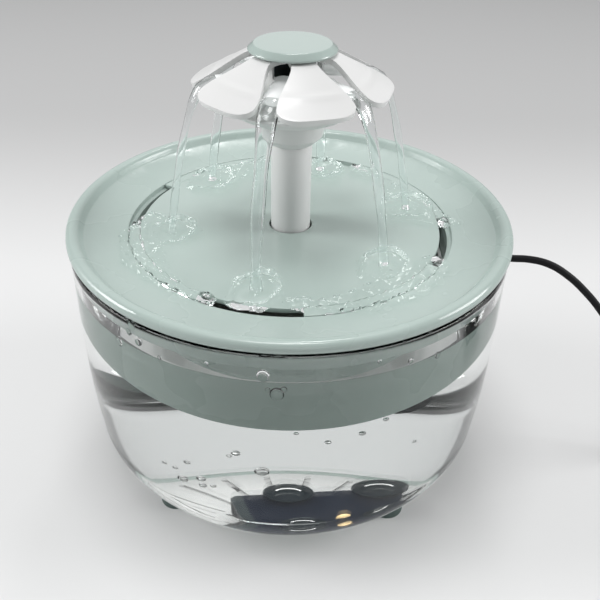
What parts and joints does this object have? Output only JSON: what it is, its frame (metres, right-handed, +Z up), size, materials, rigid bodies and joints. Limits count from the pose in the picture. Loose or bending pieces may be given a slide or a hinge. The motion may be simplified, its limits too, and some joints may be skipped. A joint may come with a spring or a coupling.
{
  "type": "pet water fountain",
  "caption": "Round pet water fountain: clear bowl, lift-out drinking tray with filter basket and pump, and a flower spout on a stem.",
  "frame": {"origin": "on the floor under the feet, on the axis of the bowl and stem", "axes": "+Z up along the stem, +X towards the side where the lead leaves, -Y towards the front"},
  "size_m": [0.3427, 0.19, 0.1923],
  "materials": {
    "clear_bowl": "clear gloss",
    "dark_rubber": "satin",
    "sage_plastic": "satin",
    "white_plastic": "satin",
    "white_gloss": "gloss",
    "carbon": "granular",
    "felt": "felt",
    "navy_plastic": "gloss",
    "amber_plastic": "gloss",
    "ferrite": "matt",
    "ceramic": "polished",
    "core_steel": "laminated",
    "copper_wire": "enamelled wire",
    "lens": "translucent gloss",
    "grille_plastic": "satin",
    "sponge": "open foam",
    "grey_rubber": "satin",
    "black_lead": "satin",
    "plug_metal": "polished"
  },
  "bodies": {
    "bowl": {"bowl": "clear_bowl", "foot_pads": "dark_rubber", "rim_grommet": "grey_rubber", "usb_lead": "black_lead", "lead_coil": "black_lead", "lead_tail": "black_lead", "plug_body": "black_lead", "plug_shell": "plug_metal", "plug_tongue": "white_plastic"},
    "tray": {"tray": "sage_plastic", "filter_basket": "white_plastic", "pump_housing": "navy_plastic", "pump_bottom_plate": "navy_plastic", "suction_cups": "dark_rubber", "chamber_cover": "navy_plastic", "rotor_shaft": "ceramic", "stator_core": "core_steel", "stator_coil": "copper_wire", "indicator_lens": "lens", "outlet_bushing": "grey_rubber", "pump_gland": "dark_rubber", "pump_lead": "black_lead"},
    "filter": {"filter_case": "white_plastic", "carbon_bed": "carbon", "filter_felt": "felt"},
    "drain_cover": {"drain_cover": "sage_plastic"},
    "stem": {"stem_tube": "white_gloss", "flower_base": "white_gloss"},
    "blossom": {"flower_petals": "white_gloss"},
    "cap": {"flower_cap": "sage_plastic"},
    "rotor": {"impeller": "amber_plastic", "rotor_magnet": "ferrite"},
    "pump_intake": {"intake_cover": "grille_plastic", "intake_sponge": "sponge"}
  },
  "joints": [
    {"name": "tray_lift", "type": "slide", "parent": "bowl", "child": "tray", "axis": [0, 0, 1], "range_m": [0, 0.075]},
    {"name": "filter_lift", "type": "slide", "parent": "tray", "child": "filter", "axis": [0, 0, 1], "range_m": [0, 0.055]},
    {"name": "drain_cover_lift", "type": "slide", "parent": "filter", "child": "drain_cover", "axis": [0, 0, 1], "range_m": [0, 0.02]},
    {"name": "stem_lift", "type": "slide", "parent": "drain_cover", "child": "stem", "axis": [0, 0, 1], "range_m": [0, 0.06]},
    {"name": "blossom_lift", "type": "slide", "parent": "stem", "child": "blossom", "axis": [0, 0, 1], "range_m": [0, 0.015]},
    {"name": "cap_lift", "type": "slide", "parent": "blossom", "child": "cap", "axis": [0, 0, 1], "range_m": [0, 0.01]},
    {"name": "rotor_spin", "type": "hinge", "parent": "tray", "child": "rotor", "pos_m": [0, 0, 0.058], "axis": [0.9848, 0.1736, 0], "continuous": true},
    {"name": "intake_cover_slide", "type": "slide", "parent": "tray", "child": "pump_intake", "axis": [-0.9848, -0.1736, 0], "range_m": [0, 0.02]}
  ]
}
